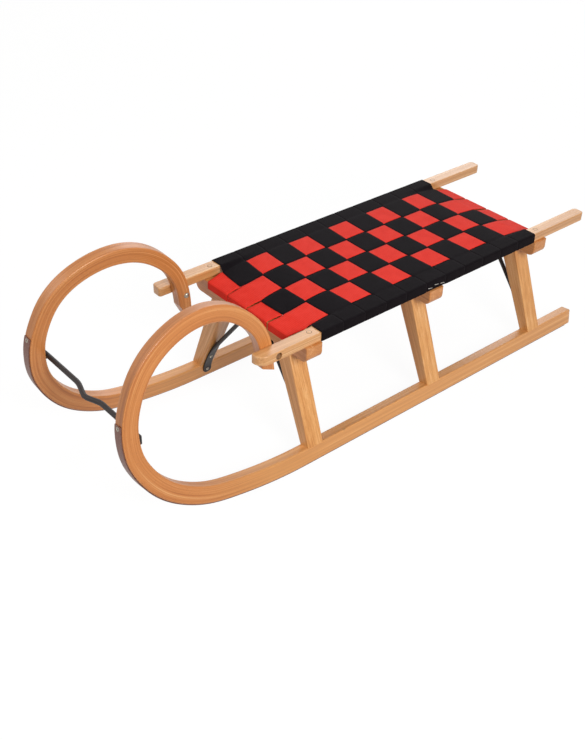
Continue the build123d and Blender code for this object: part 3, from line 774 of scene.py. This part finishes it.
def fix(name, pattern, spots, material, slot, seed=1, random_turn=0.0):
    """A row of fixings: each spot is (place mm, direction it faces, direction its own X lies)."""
    mesh = bpy.data.meshes.new(name + "_spots")
    mesh.from_pydata([tuple(np.array(s[0]) * MM) for s in spots], [], [])
    for label, column in (("way", 1), ("hold", 2)):
        store = mesh.attributes.new(label, "FLOAT_VECTOR", "POINT")
        store.data.foreach_set("vector", np.array([s[column] for s in spots], np.float32).ravel())
    holder = put_in_scene(name + "_holder", mesh)
    modifier = holder.modifiers.new("Fixings", "NODES")
    modifier.node_group = FIXINGS
    values = {"Fixing": pattern, "Size": 1.0, "Turn seed": seed, "Random turn": random_turn,
              "Finish": material}
    for label, value in values.items():
        modifier[FIXING_SOCKETS[label]] = value
    ready = holder.evaluated_get(bpy.context.evaluated_depsgraph_get())
    made = bpy.data.meshes.new_from_object(ready)
    bpy.data.objects.remove(holder)
    if not made.materials:
        made.materials.append(material)
    made.set_sharp_from_angle(angle=math.radians(40))
    return place_on_sled(put_in_scene(name, made), slot)


def mirror_spots(spots):
    """The spots on both sides of the sled, the right-hand ones first."""
    flip = np.array([1, RIGHT, 1])
    return [tuple(np.array(v) * flip for v in s) for s in spots] + [tuple(map(np.array, s)) for s in spots]


pan_screw = lathe("pan_head_screw", [
    (0.2, -1.5), (2.9, -1.5), (3.3, 0.0), (3.25, 0.7), (2.9, 1.3), (2.3, 1.7), (1.6, 1.9), (0.9, 2.0),
    (0.2, 2.0)], steel_zinc, cross=0.9)
sunk_screw = lathe("countersunk_screw", [
    (0.2, -2.0), (1.5, -2.0), (3.9, 0.05), (3.8, 0.25), (3.0, 0.4), (2.2, 0.45), (1.4, 0.45), (0.7, 0.45),
    (0.2, 0.45)], steel_zinc, cross=0.8)
plug = lathe("wood_plug", [
    (0.2, -3.0), (3.9, -3.0), (3.9, -0.1), (3.7, 0.12), (2.8, 0.16), (1.5, 0.18), (0.2, 0.18)],
    beech_plug, 40)
# a thin nearly black ring round each rail plug: painted shade in the gap between plug and rail
plug_gap = lathe("plug_gap", [(3.8, -1.5), (4.8, -1.5), (4.8, 0.1), (4.3, 0.16), (3.8, 0.1)],
                 beech_painted_shade, 40)
cap = lathe("domed_cap", [
    (0.2, -0.6), (5.0, -0.6), (5.0, 0.2), (4.5, 1.1), (3.5, 1.9), (2.2, 2.4), (0.9, 2.6), (0.2, 2.6)],
    steel_black)
# a nearly black plug that sits low in each horn bolt's recess: painted shade in the recess
bolt_plug = lathe("bolt_plug", [(0.2, -3.0), (5.7, -3.0), (5.7, -0.3), (5.3, 0.0), (3.0, 0.1), (0.2, 0.1)],
                  beech_painted_shade)
staple = bar("staple_crown", [(-5, 0, 0.1), (-2, 0, 0.35), (2, 0, 0.35), (5, 0, 0.1)], [(0, 1, 0)] * 4,
             [(0, 0, 1)] * 4, [(1.1, 0.8, 0.35)] * 4, steel_staple, LEFT, 0.4)

ANY_TURN = 6.2                          # the range in radians that a screw's recess or a plug is turned in
x_axis, z_axis = np.array([1.0, 0, 0]), np.array([0, 0, 1.0])

# wood plugs over the screws that hold the rails to the front and rear beams
plug_y = (RAIL_IN + RAIL_OUT) / 2 - 1.5
plug_spots = mirror_spots([((x, plug_y, RAIL_TOP), z_axis, x_axis) for x in (170.5, -410.0)])
fix("rail_plugs", plug, plug_spots, beech_plug, "beech", 3, ANY_TURN)
# round each plug, a nearly black ring as painted shade in its gap
fix("rail_plug_gaps", plug_gap, plug_spots, beech_painted_shade, "beech")

# screws in the shoes' soles and round the bend, and a bolt with a domed cap at the top of each shoe
sole_spots = []
for share, proud in ((0.02, 0.25), (0.22, 0.25), (0.42, 0.25), (0.62, 0.25), (0.82, 0.25), (1, 0.1)):
    row = int(share * FIRST_BEND) + 2 if share < 1 else FIRST_BEND + int(0.22 * len(bend_at))
    sole_spots.append((outer_rim(row, proud), -horn_up[row], x_axis))
shoe_spots, cap_spots = mirror_spots(sole_spots), []
for side_name, side in SIDES:
    flip = np.array([1, side, 1])
    row = horn_index(SHOE_TOP[side_name] - 9)
    shoe_spots.append((outer_rim(row, 0.1) * flip, -horn_up[row] * flip, horn_across[row] * flip))
    cap_spots.append((inner_rim(row) * flip, horn_up[row] * flip, horn_across[row] * flip))
fix("shoe_screws", sunk_screw, shoe_spots, steel_zinc, "bolt_steel", 5, ANY_TURN)
fix("shoe_bolt_caps", cap, cap_spots, steel_black, "black_steel")

# the horn bolts' recesses in the rails are plugged a little below the face, with plugs coloured nearly black
# as painted shade in the recess
BOLT_SLOPE, BOLT_OUT_Z, PLUG_DEPTH = math.radians(12), 244.75, 2.0
bolt_way = np.array([0, math.cos(BOLT_SLOPE), math.sin(BOLT_SLOPE)])
bolt_out = np.array([(BOLT_LOW[0] + BOLT_HIGH[0]) / 2, RAIL_OUT, BOLT_OUT_Z])
fix("bolt_plugs", bolt_plug, mirror_spots([(bolt_out - bolt_way * PLUG_DEPTH, bolt_way, x_axis)]),
    beech_painted_shade, "beech")
fix("rod_screws", sunk_screw,
    mirror_spots([((rod_end[0] - PAD_T + 0.2, pad_end - 7, ROD_Z), (-1.0, 0, 0), (0, 0, 1.0))]),
    steel_zinc, "bolt_steel", 7, ANY_TURN)

# each brace has a screw in the runner, one in the leg and one up into the beam
brace_screws = []
for place in ("front", "rear"):
    mid = np.array([TRESTLE_X[place], 0, 0])
    foot = mid + np.array([FOOT_SHIFT[place], 0, 0])
    brace_screws.append((foot + tab_low + UP * 8.5 - OUT * (TAB_T / 2 - 0.3), -OUT, x_axis))
    brace_screws.append((foot + tab_knee + up_leg * 28 + off_leg * (TAB_T / 2 - 0.3), off_leg, x_axis))
    brace_screws.append((mid + np.array([0, BEAM_SCREW_Y, rod_top_z - 0.2]), -z_axis, x_axis))
fix("brace_screws", pan_screw, mirror_spots(brace_screws), steel_zinc, "bolt_steel", 9, ANY_TURN)

# three staples hold each end of a cross strap, and three each rear end of a red strap
STAPLE_STEP, STAPLE_STEP_RED = 15, 16
staple_spots = []
for i, x_mid in enumerate(CROSS_X):
    for k in range(3):
        dx, uneven = (k - 1) * STAPLE_STEP, k % 2
        if i == MIDDLE_STRAP:
            place = (x_mid + dx * 1.05, RAIL_OUT + STRAP_T + 0.2, RAIL_BOTTOM + 6.5 + 2.5 * uneven)
            staple_spots.append((place, (0, 1.0, 0), (1.0, 0, 0.15)))
        else:
            place = (x_mid + dx, RAIL_IN + 9 + 2 * uneven, RAIL_BOTTOM - STRAP_T - 0.2)
            staple_spots.append((place, (0, 0, -1.0), (1.0, 0.1, 0)))
fix("strap_staples", staple, mirror_spots(staple_spots), steel_staple, "bolt_steel")
behind_beam = BEAMS["rear"][0][0] - STRAP_T - 0.25
fold_staples = [((behind_beam, y_mid + (k - 1) * STAPLE_STEP_RED, BEAM_TOP - 7.5), (-1.0, 0, 0), (0, 1.0, 0))
                for y_mid in LONG_Y for k in range(3)]
fix("fold_staples", staple, fold_staples, steel_staple, "bolt_steel")
for pattern in (pan_screw, sunk_screw, plug, plug_gap, cap, bolt_plug, staple):
    bpy.data.objects.remove(pattern)


# ---------------------------------------------------------------- floor, light and camera
def studio_floor():
    """A pale floor that is white to the eye and keeps a soft shadow."""
    mat, tree = new_finish("studio_floor_white")
    ray = add(tree, "ShaderNodeLightPath").outputs
    seen = add(tree, "ShaderNodeMath", {0: ray["Is Camera Ray"], 1: ray["Is Glossy Ray"]},
               operation="MAXIMUM")
    seen = add(tree, "ShaderNodeMath", {0: seen.outputs[0], 1: ray["Is Transmission Ray"]},
               operation="MAXIMUM")
    # it throws little light back up, so the sled's lower faces stay deep
    tone = add(tree, "ShaderNodeMix", {0: ray["Is Camera Ray"], 6: colour("#98836e"), 7: colour("#f4f3f1")},
               data_type="RGBA")
    matt = add(tree, "ShaderNodeBsdfDiffuse", {"Color": tone.outputs[2]})
    glow = add(tree, "ShaderNodeEmission", {"Color": (1, 1, 1, 1), "Strength": 1.03})
    share = add(tree, "ShaderNodeMath", {0: seen.outputs[0], 1: 0.92}, operation="MULTIPLY")
    mix = add(tree, "ShaderNodeMixShader", {0: share.outputs[0], 1: matt.outputs[0], 2: glow.outputs[0]})
    add(tree, "ShaderNodeOutputMaterial", {"Surface": mix.outputs[0]})
    return mat


FLOOR_HALF = 30                         # metres
floor_mesh = bpy.data.meshes.new("studio_floor")
floor_mesh.from_pydata([(x * FLOOR_HALF, y * FLOOR_HALF, 0) for x, y in ((-1, -1), (1, -1), (1, 1), (-1, 1))],
                       [], [(0, 1, 2, 3)])
floor_mesh.materials.append(studio_floor())
put_in_scene("studio_floor", floor_mesh)

# the surroundings are white to the eye and in reflections, and a plain soft grey as light
world = bpy.data.worlds.new("studio")
world.use_nodes = True
bpy.context.scene.world = world
sky = world.node_tree
sky.nodes.clear()
ray = add(sky, "ShaderNodeLightPath").outputs
seen = add(sky, "ShaderNodeMath", {0: ray["Is Camera Ray"], 1: ray["Is Glossy Ray"]}, operation="MAXIMUM")
level = add(sky, "ShaderNodeMath", {0: seen.outputs[0], 1: 0.68, 2: 0.32}, operation="MULTIPLY_ADD")
glow = add(sky, "ShaderNodeBackground", {"Color": (1, 1, 1, 1), "Strength": level.outputs[0]})
add(sky, "ShaderNodeOutputWorld", {"Surface": glow.outputs[0]})

# round soft lamps: place and target, then width, all in metres, and watts
for name, place, target, size, power in (
        ("overhead", (-0.3, 0.5, 2.6), (0, 0, 0.15), 1.6, 3),
        ("front_left", (0.6, 2.2, 1.55), (0, 0, 0.15), 1.2, 54),
        ("rear_sheen", (-2.6, -2.4, 2.2), (0, 0, 0.2), 2.6, 36),
        ("front_right", (2.0, -1.2, 2.0), (0.2, 0, 0.2), 1.6, 15)):
    light = bpy.data.lights.new(name, "AREA")
    light.shape, light.size, light.energy = "DISK", size, power
    lamp = put_in_scene(name, light)
    lamp.location = place
    lamp.rotation_euler = (Vector(target) - Vector(place)).to_track_quat("-Z", "Y").to_euler()

# in front of the sled's left side and above it, with a standard lens
camera_data = bpy.data.cameras.new("camera")
camera_data.lens, camera_data.sensor_width = 51.18, 36.0
camera_data.clip_start, camera_data.clip_end = 0.05, 100.0
camera = put_in_scene("camera", camera_data)
camera.location = (1.1366, 1.2139, 1.2159)
camera.rotation_euler = [math.radians(a) for a in (54.2566, -1.1557, 139.9376)]
bpy.context.scene.camera = camera
bpy.context.scene.view_settings.view_transform = "Standard"
